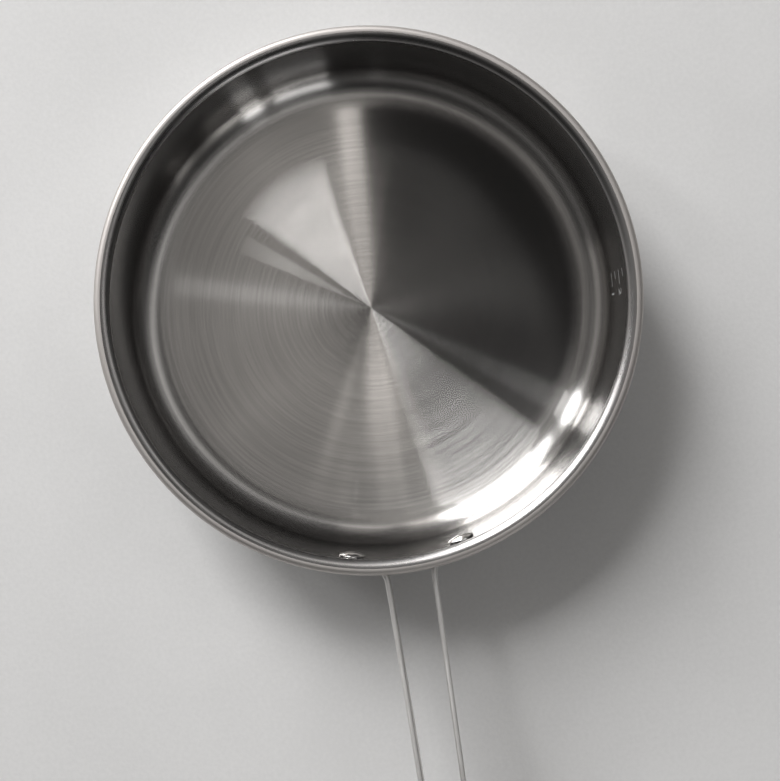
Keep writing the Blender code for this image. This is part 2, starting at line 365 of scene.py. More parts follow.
@dataclass(frozen=True)
class PolishedSteel(Finish):
    """Bright steel with faint spinning marks and wipe marks.

    Attributes:
        roughness: Its roughness where it is clean.
        wiped: The roughness that wipe marks add.
        hoops_per_metre: How close the spinning marks are.
        relief: Depth of the spinning marks in metres.
        hoop_share: How much of the wipe marks' roughness the spinning marks add too.
        dull: How bright the most wiped places are, where 1 is clean.
    """

    roughness: float
    wiped: float
    hoops_per_metre: float
    relief: float
    hoop_share: float = 0.5
    dull: float = 0.93

    def paint(self, graph: NodeGraph, shader: Node) -> None:
        """Adds the spinning marks and the wipe marks.

        Args:
            graph: The material's graph.
            shader: Its shader.
        """
        around = RoundCoordinates(graph)
        marks = around.rings(self.hoops_per_metre, per_turn=2.0, detail=2.0, rough=0.5)
        wipes = graph.noise(around.place, scale=24.0, detail=4.0, rough=0.6)
        film = graph.ramp(wipes, *WIPE_SPAN, 0.0, self.wiped)
        grain = graph.ramp(marks, *MARK_SPAN, 0.0, self.wiped * self.hoop_share)
        roughness = graph.math("ADD", graph.math("ADD", film, grain), self.roughness)
        tone = graph.ramp(wipes, *WEAR_SPAN, 1.0, self.dull)
        self.surface(graph, shader, tone, roughness, marks, self.relief)


@dataclass(frozen=True)
class SatinStrip(Finish):
    """Steel strip with a grain along its length.

    Attributes:
        roughness: Its roughness between the grain lines.
        grain: The roughness that the grain adds.
        relief: Depth of the grain in metres.
        lines: How fast the grain changes for each metre along the strip and across it.
        wear_share: How much of the grain's roughness handling adds too.
        dull: How bright the most handled places are, where 1 is clean.
    """

    roughness: float
    grain: float
    relief: float
    lines: Point = (40.0, 5000.0)
    wear_share: float = 0.6
    dull: float = 0.92

    def paint(self, graph: NodeGraph, shader: Node) -> None:
        """Adds the grain and a handled look.

        Args:
            graph: The material's graph.
            shader: Its shader.
        """
        chart = graph.add("ShaderNodeUVMap", uv_map=StripHandle.CHART).outputs[0]
        stretched = graph.vector("MULTIPLY", chart, (*self.lines, 1.0))
        lines = graph.noise(stretched, scale=1.0, detail=2.0, rough=0.55)
        wear = graph.noise(graph.place(), scale=60.0, detail=3.0, rough=0.6)
        grain = graph.ramp(lines, *MARK_SPAN, 0.0, self.grain)
        handled = graph.ramp(wear, *HANDLED_SPAN, 0.0, self.grain * self.wear_share)
        roughness = graph.math("ADD", graph.math("ADD", grain, handled), self.roughness)
        tone = graph.ramp(wear, *WEAR_SPAN, 1.0, self.dull)
        self.surface(graph, shader, tone, roughness, lines, self.relief)


@dataclass(frozen=True)
class GrainedMetal(Finish):
    """Plain metal with an even grain, for rivets, cast pieces and etched marks.

    Attributes:
        roughness: Its roughness.
        spread: How much the roughness varies.
        grain_scale: The grain's scale.
        relief: Depth of the grain in metres.
        metallic: 1 for bare metal, less where the surface is a matt etch.
        dull: How bright the darkest grains are, where 1 is the brightest.
    """

    roughness: float
    spread: float
    grain_scale: float
    relief: float
    metallic: float = 1.0
    dull: float = 0.92

    def paint(self, graph: NodeGraph, shader: Node) -> None:
        """Adds the grain.

        Args:
            graph: The material's graph.
            shader: Its shader.
        """
        grain = graph.noise(graph.place(), self.grain_scale, detail=3.0, rough=0.6)
        smooth, coarse = self.roughness - self.spread, self.roughness + self.spread
        roughness = graph.ramp(grain, *NOISE_SPAN, smooth, coarse)
        tone = graph.ramp(grain, *NOISE_SPAN, self.dull, 1.0)
        graph.feed(shader, {"Metallic": self.metallic})
        self.surface(graph, shader, tone, roughness, grain, self.relief)


@dataclass(frozen=True)
class PlainFloor(Finish):
    """A pale matt table top with a faint mottle.

    Attributes:
        roughness: Its roughness.
        gloss: Its specular level.
        relief: Depth of its grain in metres.
        strength: How strongly the grain shows.
        mottle_share: How much of the tone the mottle makes. The grain makes the rest.
        dull: How bright the darkest places are, where 1 is the brightest.
    """

    roughness: float
    gloss: float = 0.3
    relief: float = 0.0002
    strength: float = 0.5
    mottle_share: float = 0.6
    dull: float = 0.93

    def paint(self, graph: NodeGraph, shader: Node) -> None:
        """Adds the mottle and the grain.

        Args:
            graph: The material's graph.
            shader: Its shader.
        """
        place = graph.place()
        mottle = graph.noise(place, scale=9.0, detail=5.0, rough=0.6)
        grain = graph.noise(place, scale=420.0, detail=2.0, rough=0.5)
        broad = graph.math("MULTIPLY", mottle, self.mottle_share)
        both = graph.math("ADD", broad, graph.math("MULTIPLY", grain, 1.0 - self.mottle_share))
        tone = graph.ramp(both, *NOISE_SPAN, self.dull, 1.0)
        graph.feed(shader, {"Metallic": 0.0, "Specular IOR Level": self.gloss})
        self.surface(graph, shader, tone, self.roughness, grain, self.relief, self.strength)


COOKING_STEEL = TurnedSteel(
    name="inside_steel",
    colour=(0.62, 0.605, 0.59),
    land_roughness=(0.095, 0.21, 0.13),
    flank_roughness=0.128,
    flank_lean_deg=18.2,
    drift_start=0.052,
    inward_per_metre=1.7,
    share=0.105,
    high_share=0.10,
    levels=(0.0090, 0.0200),
    band=(0.1090, 0.1180),
    # Painted shade: the wall is painted at 0.37 of the floor's brightness, for the dark room that it
    # reflects.
    painted_wall_shade=0.37,
    lines_per_metre=760.0,
    strength=0.22,
    line_tone=0.12,
)
# Painted shade: the flare is the same sheet as the outside, painted much darker to stand in for the dark
# ceiling that it reflects.
SHADED_FLARE_STEEL = PolishedSteel("polished_flare_steel", (0.36, 0.35, 0.345), 0.26, 0.05, 900.0, 1.0e-6)
# Painted reflection: the crown is the same sheet, tinted warmer to stand in for the warm room that it
# reflects. Its satin roughness is its own.
LIP_STEEL = PolishedSteel("satin_crown_steel", (0.57, 0.54, 0.52), 0.52, 0.06, 900.0, 1.0e-6)
OUTSIDE_STEEL = PolishedSteel("outside_steel", (0.62, 0.61, 0.60), 0.12, 0.08, 900.0, 2.0e-6)
CAP_STEEL = TurnedSteel(
    name="base_cap_steel",
    colour=(0.60, 0.59, 0.58),
    land_roughness=(0.20, 0.24, 0.24),
    flank_roughness=0.30,
    flank_lean_deg=12.0,
    drift_start=0.0,
    inward_per_metre=0.0,
    share=0.4,
    high_share=0.4,
    levels=(0.0, 0.001),
    band=(0.110, 0.114),
    painted_wall_shade=1.0,
    lines_per_metre=1500.0,
    strength=0.6,
    line_tone=0.10,
)
SPREADER_METAL = GrainedMetal("cast_aluminium", (0.78, 0.79, 0.80), 0.5, 0.08, 300.0, 2.0e-5)
STRIP_STEEL = SatinStrip("handle_strip_steel", (0.80, 0.785, 0.77), 0.34, 0.10, 2.0e-6)
RIVET_STEEL = GrainedMetal("rivet_steel", (0.66, 0.65, 0.64), 0.14, 0.05, 350.0, 2.0e-6)
ETCHED_STEEL = GrainedMetal("etched_marks", (0.42, 0.42, 0.42), 0.6, 0.08, 3000.0, 4.0e-6, 0.3)
TABLE_TOP = PlainFloor("pale_table_top", (0.74, 0.735, 0.73), 0.75)


# Shapes


class ShapeGraph(NodeGraph):
    """A Geometry Nodes tree, with short ways to read, change and dress shapes."""

    @classmethod
    def begin(cls, name: str, settings: Settings) -> tuple["ShapeGraph", list[Socket]]:
        """Starts a tree that takes and gives a geometry.

        Args:
            name: The tree's name.
            settings: The values of its other inputs, by name. An int makes a whole-number input.

        Returns:
            The tree's graph, and its inputs' sockets with the geometry first.
        """
        tree = bpy.data.node_groups.new(name, "GeometryNodeTree")
        for side in ("INPUT", "OUTPUT"):
            tree.interface.new_socket("Geometry", in_out=side, socket_type="NodeSocketGeometry")
        for key, value in settings.items():
            kind = "NodeSocketInt" if isinstance(value, int) else "NodeSocketFloat"
            tree.interface.new_socket(key, in_out="INPUT", socket_type=kind)
        graph = cls(tree)
        return graph, list(graph.add("NodeGroupInput").outputs)[: len(settings) + 1]

    def position(self) -> Socket:
        """The position of each point."""
        return self.add("GeometryNodeInputPosition").outputs[0]

    def named(self, name: str, kind: str) -> Socket:
        """A named attribute of a data type."""
        return self.add("GeometryNodeInputNamedAttribute", {"Name": name}, data_type=kind).outputs[0]

    def groups(self, size: Socket) -> tuple[Socket, Socket]:
        """Counts the elements off in groups.

        Args:
            size: How many elements are in a group.

        Returns:
            The number of each element's group, and the element's number in it.
        """
        index = self.add("GeometryNodeInputIndex").outputs[0]
        group = self.math("FLOOR", self.math("DIVIDE", self.math("ADD", index, 0.5), size))
        return group, self.math("SUBTRACT", index, self.math("MULTIPLY", group, size))

    def sample(self, source: Socket, value: Socket, at: Socket, kind: str, domain: str = "POINT") -> Socket:
        """Reads a value of another geometry at an index."""
        feeds = {"Geometry": source, "Value": value, "Index": at}
        return self.add("GeometryNodeSampleIndex", feeds, data_type=kind, domain=domain).outputs["Value"]

    def change(self, kind: str, shape: Socket, feeds: dict | None = None, **options: object) -> Socket:
        """Adds a node that changes a geometry, and gives the result."""
        return self.add(kind, {"Geometry": shape, **(feeds or {})}, **options).outputs[0]

    def store(self, shape: Socket, name: str, value: Socket, kind: str, domain: str) -> Socket:
        """Keeps a value on a geometry under a name."""
        feeds = {"Name": name, "Value": value}
        return self.change("GeometryNodeStoreNamedAttribute", shape, feeds, data_type=kind, domain=domain)

    def weld(self, shape: Socket) -> Socket:
        """Closes a shape's seams and shades it smoothly."""
        merged = self.change("GeometryNodeMergeByDistance", shape, {"Distance": WELD})
        return self.change("GeometryNodeSetShadeSmooth", merged)

    def finish(self, shape: Socket, finishes: list[Material]) -> None:
        """Makes a shape real, dresses it and ends the tree.

        Args:
            shape: The geometry, with a zone number on its faces if it has several finishes.
            finishes: The materials, in zone order.
        """
        shape = self.change("GeometryNodeRealizeInstances", shape)
        for number, finish in enumerate(finishes):
            feeds = {"Material": finish}
            if len(finishes) > 1:
                pair = {2: self.named("zone", "INT"), 3: number}
                same = self.add("FunctionNodeCompare", pair, data_type="INT", operation="EQUAL")
                feeds["Selection"] = same.outputs[0]
            shape = self.change("GeometryNodeSetMaterial", shape, feeds)
        self.add("NodeGroupOutput", {0: shape})


def link(name: str, data: bpy.types.ID) -> Object:
    """Makes an object and puts it in the scene.

    Args:
        name: The object's name.
        data: Its mesh, text, lamp or camera.

    Returns:
        The object.
    """
    made = bpy.data.objects.new(name, data)
    bpy.context.scene.collection.objects.link(made)
    return made


def baked(source: Object) -> Mesh:
    """The plain mesh of an object, with its modifiers or its text worked out."""
    graph = bpy.context.evaluated_depsgraph_get()
    return bpy.data.meshes.new_from_object(source.evaluated_get(graph), depsgraph=graph)


def point_mesh(name: str, points: list, values: dict[str, list]) -> Mesh:
    """A mesh of points that carry named values.

    Args:
        name: The mesh's name.
        points: Their places.
        values: A number or a vector for each point, by name.

    Returns:
        The mesh.
    """
    mesh = bpy.data.meshes.new(name)
    mesh.from_pydata(points, [], [])
    for key, given in values.items():
        is_vector = isinstance(given[0], (tuple, Vector))
        flat = [number for value in given for number in value] if is_vector else given
        kind, entry = ("FLOAT_VECTOR", "vector") if is_vector else ("FLOAT", "value")
        mesh.attributes.new(key, kind, "POINT").data.foreach_set(entry, flat)
    return mesh


def grow(
    name: str,
    tree: bpy.types.NodeTree,
    source: Mesh,
    settings: Settings,
    solid: bool = True,
) -> Object:
    """Runs a Geometry Nodes tree once and keeps what it makes as a plain mesh.

    Args:
        name: The piece's name.
        tree: The tree.
        source: The mesh that goes into it.
        settings: The values of its other inputs, by name.
        solid: Whether open ends are closed and the faces turned outwards.

    Returns:
        The piece, at the origin, with its place in its mesh.
    """
    seed = link(f"{name}_seed", source)
    modifier = seed.modifiers.new("shape", "NODES")
    modifier.node_group = tree
    inputs = {s.name: s.identifier for s in tree.interface.items_tree if s.in_out == "INPUT"}
    for key, value in settings.items():
        modifier[inputs[key]] = value
    seed.update_tag()
    mesh = baked(seed)
    mesh.name = name
    seed.modifiers.remove(modifier)
    bpy.data.objects.remove(seed, do_unlink=True)

    if solid:
        bm = bmesh.new()
        bm.from_mesh(mesh)
        bmesh.ops.holes_fill(bm, edges=[e for e in bm.edges if e.is_boundary], sides=0)
        bmesh.ops.recalc_face_normals(bm, faces=bm.faces)
        bm.to_mesh(mesh)
        bm.free()
    mesh.set_sharp_from_angle(angle=math.radians(SHARP_DEG))
    return link(name, mesh)


def turned(name: str, outline: list[Point], zones: list[int], steps: int, finishes: list[Material]) -> Object:
    """Turns a half outline round the axis.

    Args:
        name: The piece's name.
        outline: The outline's (radius, level) points, in order.
        zones: The zone of each edge between them.
        steps: Fineness round the axis.
        finishes: The materials, in zone order.

    Returns:
        The piece.
    """
    edges = [(i, i + 1) for i in range(len(outline) - 1)]
    mesh = bpy.data.meshes.new(f"{name}_outline")
    mesh.from_pydata([(radius, 0.0, level) for radius, level in outline], edges, [])
    mesh.attributes.new("zone", "INT", "EDGE").data.foreach_set("value", zones)

    settings = {"Steps": steps, "Points": len(outline)}
    graph, (source, turns, points) = ShapeGraph.begin(f"{name}_turning", settings)
    feeds = {"Vertices X": graph.math("ADD", turns, 1.0), "Vertices Y": points}
    grid = graph.add("GeometryNodeMeshGrid", feeds).outputs["Mesh"]
    column, row = graph.groups(points)
    place = graph.sample(source, graph.position(), row, "FLOAT_VECTOR")
    turn = graph.math("DIVIDE", graph.math("MULTIPLY", column, math.tau), turns)
    place = graph.add("ShaderNodeVectorRotate", {"Vector": place, "Angle": turn}, rotation_type="Z_AXIS")
    shape = graph.change("GeometryNodeSetPosition", grid, {"Position": place.outputs[0]})
    segment = graph.groups(graph.math("SUBTRACT", points, 1.0))[1]
    zone = graph.sample(source, graph.named("zone", "INT"), segment, "INT", "EDGE")
    shape = graph.store(shape, "zone", zone, "INT", "FACE")
    graph.finish(graph.weld(shape), finishes)
    return grow(name, graph.tree, mesh, settings)


def settle(piece: Object, slot: str, *nodes: str) -> None:
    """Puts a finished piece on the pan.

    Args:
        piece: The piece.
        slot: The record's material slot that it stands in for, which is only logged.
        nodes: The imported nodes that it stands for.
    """
    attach(piece, BODY)
    if nodes:
        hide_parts(*nodes)
    faces = len(piece.data.polygons)
    log.info("%s: %d faces, slot %s, stands for %s", piece.name, faces, slot, ", ".join(nodes) or "nothing")


def spread(start: float, stop: float, steps: int) -> list[float]:
    """Evenly spaced values with a number of gaps between them, both ends included."""
    return [start + (stop - start) * i / steps for i in range(steps + 1)]


def smooth_step(t: float) -> float:
    """An ease from 0 to 1 that starts and ends level."""
    t = min(max(t, 0.0), 1.0)
    return t * t * (3.0 - 2.0 * t)


def heading(turn: float, zenith: float = math.pi / 2) -> Vector:
    """A direction by its turn from +X round the axis and its angle from straight up."""
    flat = math.sin(zenith)
    return Vector((flat * math.cos(turn), flat * math.sin(turn), math.cos(zenith)))


# The pan's pieces


@dataclass
class PanBody:
    """The one-piece sheet: cooking surface, corner, wall and pouring lip.

    Attributes:
        wall_top_radius: Inner radius at the top of the wall.
        lean_deg: How far the wall leans outwards.
        corner_radius: Inner radius of the corner between floor and wall.
        cooking_level: Level of the cooking surface.
        depth: From the cooking surface to the top of the lip.
        sheet: Thickness of the steel.
        lip_width: How far the lip reaches beyond the wall.
        flare_deg: Slope of the lip where it leaves the wall.
        bend_inside: Inner radius of the bend between wall and lip.
        roll_inside: Inner radius of the lip's rolled edge.
        curl_deg: How far the edge curls back under the lip.
        crown_deg: Slope of the flare where the lip's satin crown starts.
        steps: Fineness round the axis.
    """

    wall_top_radius: float = 0.1331
    lean_deg: float = 2.5
    corner_radius: float = 0.0150
    cooking_level: float = 0.0068
    depth: float = 0.0580
    sheet: float = 0.0010
    lip_width: float = 0.0082
    flare_deg: float = 45.0
    bend_inside: float = 0.0006
    roll_inside: float = 0.0017
    curl_deg: float = 10.0
    crown_deg: float = 8.0
    steps: int = 480

    FLOOR_STEPS = 8
    CORNER_STEPS = 32
    BEND_STEPS = 8
    FLARE_STEPS = 13
    CROWN_STEPS = 3
    ROLL_STEPS = 20
    EDGE_STEPS = 8
    # The floor's last point stands just inside the corner's first.
    FLOOR_SHARE = 0.995
    # Where the wall's points stand, from its foot to its top.
    WALL_PLACES = (0.02, 0.2, 0.5, 0.8, 0.98)

    def __post_init__(self) -> None:
        """Works out the wall's top level, the lip's lower edge and the flat floor's radius."""
        self.lean = math.radians(self.lean_deg)
        self.wall_tilt = math.pi / 2 - self.lean
        self.flare_tilt = math.radians(self.flare_deg)
        self.bend = self.bend_inside + self.sheet
        self.roll = self.roll_inside + self.sheet
        reach = self.bend * (math.sin(self.wall_tilt) - math.sin(self.flare_tilt))
        climb = self.bend * (math.cos(self.flare_tilt) - math.cos(self.wall_tilt))
        self.flare = (self.lip_width - reach - self.roll) / math.sin(self.flare_tilt)
        self.crown = self.cooking_level + self.depth
        self.wall_top = self.crown - climb - self.flare * (1 - math.cos(self.flare_tilt))
        curl = math.radians(self.curl_deg)
        self.lip_bottom = self.crown - self.roll * (1 + math.sin(curl)) - self.sheet / 2
        self.rim_radius = self.wall_top_radius + self.lip_width
        foot = self.wall_top_radius - (self.wall_top - self.cooking_level) * math.tan(self.lean)
        self.flat_radius = foot - self.corner_radius * math.tan(self.wall_tilt / 2)

    def wall_radius(self, level: float) -> float:
        """Inner radius of the straight wall at a level."""
        return self.wall_top_radius - (self.wall_top - level) * math.tan(self.lean)

    def upper_face(self) -> list[tuple[float, float, float, Zone]]:
        """The cooking side of the sheet, from the axis to the lip's edge.

        Returns:
            Radius, level, tilt towards the axis, and the zone that starts there.
        """
        floor = spread(0.0, self.flat_radius * self.FLOOR_SHARE, self.FLOOR_STEPS)
        face = [(radius, self.cooking_level, 0.0, Zone.INSIDE) for radius in floor]
        for tilt in spread(0.0, self.wall_tilt, self.CORNER_STEPS):
            radius = self.flat_radius + self.corner_radius * math.sin(tilt)
            level = self.cooking_level + self.corner_radius * (1 - math.cos(tilt))
            face.append((radius, level, tilt, Zone.INSIDE))
        foot = face[-1][1]
        for t in self.WALL_PLACES:
            level = foot + (self.wall_top - foot) * t
            face.append((self.wall_radius(level), level, self.wall_tilt, Zone.INSIDE))
        face.append((self.wall_top_radius, self.wall_top, self.wall_tilt, Zone.FLARE))
        edge_tilt = -math.pi / 2 - math.radians(self.curl_deg)
        bends = [
            (self.bend, self.flare_tilt, self.BEND_STEPS, Zone.FLARE),
            (self.flare, math.radians(self.crown_deg), self.FLARE_STEPS, Zone.FLARE),
            (self.flare, 0.0, self.CROWN_STEPS, Zone.LIP),
            (self.roll, edge_tilt, self.ROLL_STEPS, Zone.LIP),
        ]
        for bend, end_tilt, steps, zone in bends:
            radius, level, start_tilt, _ = face[-1]
            face[-1] = (radius, level, start_tilt, zone)
            centre = (radius + bend * math.sin(start_tilt), level - bend * math.cos(start_tilt))
            for tilt in spread(start_tilt, end_tilt, steps)[1:]:
                place = (centre[0] - bend * math.sin(tilt), centre[1] + bend * math.cos(tilt))
                face.append((*place, tilt, zone))
        return face

    def outline(self) -> tuple[list[Point], list[int]]:
        """The sheet's closed half outline.

        Returns:
            Its (radius, level) points, and the zone of each edge.
        """
        face = self.upper_face()
        top = [(radius, level) for radius, level, _, _ in face]
        zones = [zone.value for _, _, _, zone in face]
        under = [
            (max(0.0, radius + self.sheet * math.sin(tilt)), level - self.sheet * math.cos(tilt))
            for radius, level, tilt, _ in face
        ]
        radius, level, tilt, _ = face[-1]
        half = self.sheet / 2
        middle = (radius + half * math.sin(tilt), level - half * math.cos(tilt))
        edge = [
            (middle[0] - half * math.sin(tilt - turn), middle[1] + half * math.cos(tilt - turn))
            for turn in spread(0.0, math.pi, self.EDGE_STEPS)[1:-1]
        ]
        points = top + edge + under[::-1]
        zones += [Zone.OUTSIDE.value] * (len(points) - 1 - len(zones))
        return points, zones

    def build(self) -> None:
        """Makes and dresses the body."""
        kinds = (COOKING_STEEL, SHADED_FLARE_STEEL, LIP_STEEL, OUTSIDE_STEEL)
        finishes = [finish.build() for finish in kinds]
        piece = turned("pan_body_sheet", *self.outline(), self.steps, finishes)
        settle(piece, "body_steel", "pan_body")


@dataclass
class PanBase:
    """The steel cap under the pan, and the aluminium disc inside it.

    Attributes:
        body: The pan's body, which they lie under.
        inset: From the edge of the flat floor in to the cap's side.
        sheet: Thickness of the cap's steel.
        top: Level of the cap's upper edge.
        corner: Outer radius of the cap's lower edge.
        steps: Fineness round the axis.
    """

    body: PanBody
    inset: float = 0.0018
    sheet: float = 0.0007
    top: float = 0.0055
    corner: float = 0.0022
    steps: int = 420

    CORNER_STEPS = 12
    BOTTOM_STEPS = 20
    # The bottom's first point stands this many corner radii in from the side.
    BOTTOM_START = 1.2

    def foot(self, radius: float, bottom: float, corner: float) -> list[Point]:
        """The rounded lower edge, from the side down to the flat bottom.

        Args:
            radius: Radius of the side.
            bottom: Level of the flat bottom.
            corner: Radius of the edge.

        Returns:
            Its (radius, level) points.
        """
        return [
            (radius - corner * (1 - math.cos(turn)), bottom + corner * (1 - math.sin(turn)))
            for turn in spread(0.0, math.pi / 2, self.CORNER_STEPS)
        ]

    def outline(self) -> list[Point]:
        """The cap's closed half outline.

        Returns:
            Its (radius, level) points.
        """
        outer = self.body.flat_radius - self.inset
        inner = outer - self.sheet
        inside = self.foot(inner, self.sheet, self.corner - self.sheet)
        points = [(0.0, self.sheet)] + inside[::-1]
        points += [(inner, self.top), (outer, self.top)]
        points += self.foot(outer, 0.0, self.corner)
        bottom = spread(outer - self.corner * self.BOTTOM_START, 0.0, self.BOTTOM_STEPS)
        return points + [(radius, 0.0) for radius in bottom]

    def build(self) -> None:
        """Makes and dresses the cap, and dresses the disc inside it."""
        points = self.outline()
        zones = [0] * (len(points) - 1)
        piece = turned("base_cap_cup", points, zones, self.steps, [CAP_STEEL.build()])
        settle(piece, "base_steel", "base_cap")
        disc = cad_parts["heat_spreader"]
        disc.data.materials.clear()
        disc.data.materials.append(SPREADER_METAL.build())
        log.info("heat_spreader: the packed disc, dressed")


@dataclass
class StripHandle:
    """The handle: one strip on edge, bent like a hairpin, with a tab at each end.

    Attributes:
        body: The pan's body, which the tabs lie on.
        strip: Thickness of the strip.
        edge_radius: Rounding of its edges.
        tab_height: Its height on the wall.
        grip_height: Its height in the grip.
        loop_height: Its height round the end.
        arm_spacing: Between the arms' middles at the rim.
        loop_spacing: Between the arms' middles at the end.
        tab_bend_inside: Inner radius of the bends at the tabs.
        reach: From the rim to the end.
        rise: How far the end stands above the tabs.
        below_lip: From the lip's lower edge to the tabs' upper edge.
        wall_gap: Between the wall and the tabs.
        bend_to_rivet: From the start of the bend to the rivet's middle, along the tab.
        grip_place: Where the grip is tallest, from 0 at the tab to 1 at the end.
        rise_ease: How much of its slow start and end the rise keeps.
        tip_deg: How far the tab's round tip is drawn towards its very end.
    """

    body: PanBody
    strip: float = 0.0028
    edge_radius: float = 0.0011
    tab_height: float = 0.0135
    grip_height: float = 0.0200
    loop_height: float = 0.0160
    arm_spacing: float = 0.0246
    loop_spacing: float = 0.0188
    tab_bend_inside: float = 0.0110
    reach: float = 0.1950
    rise: float = 0.0320
    below_lip: float = 0.0008
    wall_gap: float = 0.0003
    bend_to_rivet: float = 0.0068
    grip_place: float = 0.45
    rise_ease: float = 0.8
    tip_deg: float = 80.0

    CHART = "strip_chart"
    TIP_STEPS = 14
    TAB_STEPS = 6
    BEND_STEPS = 26
    ARM_STEPS = 60
    LOOP_STEPS = 28
    ROUNDING_STEPS = 5

    def __post_init__(self) -> None:
        """Works out where the straight and round stretches meet, for the right arm in plan."""
        body = self.body
        self.tab_level = body.lip_bottom - self.below_lip - self.tab_height / 2
        stack = body.sheet + self.wall_gap + self.strip / 2
        self.tab_radius = body.wall_radius(self.tab_level) + stack / math.cos(body.lean)
        arm_x = self.arm_spacing / 2
        rim_y = -body.rim_radius
        self.loop_radius = self.loop_spacing / 2
        end_y = rim_y - self.reach
        self.loop_y = end_y + self.loop_radius + self.strip / 2
        self.end_middle_y = end_y + self.strip / 2
        run = rim_y - self.loop_y
        self.slant = math.acos(self.loop_radius / math.hypot(arm_x, run)) - math.atan2(run, arm_x)
        self.bend = self.tab_bend_inside + self.strip / 2
        self.out = Vector((math.cos(self.slant), -math.sin(self.slant)))
        along = Vector((-math.sin(self.slant), -math.cos(self.slant)))
        distance = self.tab_radius + self.bend
        start = Vector((arm_x, rim_y)) + self.out * self.bend
        half_b = start.dot(along)
        step = -half_b + math.sqrt(half_b**2 - start.dot(start) + distance**2)
        self.bend_centre = start + along * step
        self.tab_start = math.atan2(self.bend_centre.x, -self.bend_centre.y)
        self.rivet_turn = self.tab_start + self.bend_to_rivet / self.tab_radius

    def height_at(self, progress: float) -> float:
        """The strip's height along an arm.

        Args:
            progress: 0 at the tab and 1 at the end.

        Returns:
            The height.
        """
        if progress < self.grip_place:
            ease = smooth_step(progress / self.grip_place)
            return self.tab_height + (self.grip_height - self.tab_height) * ease
        ease = smooth_step((progress - self.grip_place) / (1 - self.grip_place))
        return self.grip_height + (self.loop_height - self.grip_height) * ease

    def half_stations(self) -> list[tuple[float, float, float, float, float, float]]:
        """The sections from the tip of the right tab to the middle of the end.

        Returns:
            X, Y, level, facing, height and lean of each section.
        """
        lean = self.body.lean
        stations = []

        def add_on_tab(turn: float, height: float) -> None:
            """Adds a section on the tab, at a turn from -Y."""
            x, y = self.tab_radius * math.sin(turn), -self.tab_radius * math.cos(turn)
            stations.append((x, y, self.tab_level, turn - math.pi / 2, height, lean))

        for tip in spread(math.radians(self.tip_deg), 0.0, self.TIP_STEPS):
            turn = self.rivet_turn + self.tab_height / 2 * math.sin(tip) / self.tab_radius
            add_on_tab(turn, self.tab_height * math.cos(tip))
        for turn in spread(self.rivet_turn, self.tab_start, self.TAB_STEPS)[1:]:
            add_on_tab(turn, self.tab_height)

        facings = spread(self.tab_start - math.pi / 2, -self.slant, self.BEND_STEPS)
        for i, facing in enumerate(facings[1:], start=1):
            point = self.bend_centre - self.bend * Vector((math.cos(facing), math.sin(facing)))
            eased = lean * (1 - smooth_step(i / self.BEND_STEPS))
            stations.append((point.x, point.y, self.tab_level, facing, self.tab_height, eased))

        arm_start = Vector(stations[-1][:2])
        arm_end = Vector((0.0, self.loop_y)) + self.loop_radius * self.out
        length = arm_start.y - self.end_middle_y

        def add_on_arm(x: float, y: float, facing: float) -> None:
            """Adds a section on the arm or the end loop.

            Args:
                x: Its middle's X.
                y: Its middle's Y, which says how far it has risen and how tall it is.
                facing: The direction that its outer face points in.
            """
            progress = (arm_start.y - y) / length
            climb = smooth_step(progress * self.rise_ease) / smooth_step(self.rise_ease)
            level = self.tab_level + self.rise * climb
            stations.append((x, y, level, facing, self.height_at(progress), 0.0))

        for t in spread(0.0, 1.0, self.ARM_STEPS)[1:]:
            add_on_arm(*arm_start.lerp(arm_end, t), -self.slant)
        for facing in spread(-self.slant, -math.pi / 2, self.LOOP_STEPS)[1:]:
            x = self.loop_radius * math.cos(facing)
            y = self.loop_y + self.loop_radius * math.sin(facing)
            add_on_arm(x, y, facing)
        return stations

    def station_mesh(self) -> Mesh:
        """The sections' middles as points that carry their directions, height and run.

        Returns:
            The mesh, from the right tab's tip round to the left tab's tip.
        """
        half = self.half_stations()
        mirrored = [(-x, y, z, math.pi - f, h, l) for x, y, z, f, h, l in reversed(half[:-1])]
        stations = half + mirrored
        values = {"sideways": [], "upward": [], "tall": [], "run": [0.0]}
        up = Vector((0.0, 0.0, 1.0))
        for *_, facing, tall, lean in stations:
            outward = heading(facing)
            values["upward"].append(outward * math.sin(lean) + up * math.cos(lean))
            values["sideways"].append(outward * math.cos(lean) - up * math.sin(lean))
            values["tall"].append(tall)
        points = [Vector(station[:3]) for station in stations]
        for near, far in zip(points, points[1:]):
            values["run"].append(values["run"][-1] + (far - near).length)
        return point_mesh("strip_stations", points, values)

    def section_mesh(self) -> Mesh:
        """The rounded section as points: which corner, and where on its rounding.

        Returns:
            The mesh, whose last point repeats the first.
        """
        corner, rounding = [], []
        # Which side and end each corner is on, and the half turns at which its rounding starts.
        for side, end, first in ((1, 1, 0.0), (-1, 1, 0.5), (-1, -1, 1.0), (1, -1, 1.5)):
            for quarter in spread(0.0, 0.5, self.ROUNDING_STEPS):
                turn = math.pi * (first + quarter)
                corner.append((side, end, 0.0))
                rounding.append((math.cos(turn), math.sin(turn), 0.0))
        corner.append(corner[0])
        rounding.append(rounding[0])
        return point_mesh("strip_section", rounding, {"corner": corner})

    def sweeping_tree(self, settings: Settings, section: Object, finish: Material) -> bpy.types.NodeTree:
        """Builds the tree that sweeps the section along the stations.

        Args:
            settings: The counts of stations and section points, the thickness and the edge radius.
            section: The section's object.
            finish: The strip's material.

        Returns:
            The tree.
        """
        graph, sockets = ShapeGraph.begin("strip_sweep", settings)
        source, stations, around, thickness, edge = sockets
        ring = graph.add("GeometryNodeObjectInfo", {"Object": section}).outputs["Geometry"]
        grid = graph.add("GeometryNodeMeshGrid", {"Vertices X": stations, "Vertices Y": around})
        station, turn = graph.groups(around)
        vector = "FLOAT_VECTOR"

        def carried(name: str, kind: str) -> Socket:
            """A value that each point's own station carries."""
            return graph.sample(source, graph.named(name, kind), station, kind)

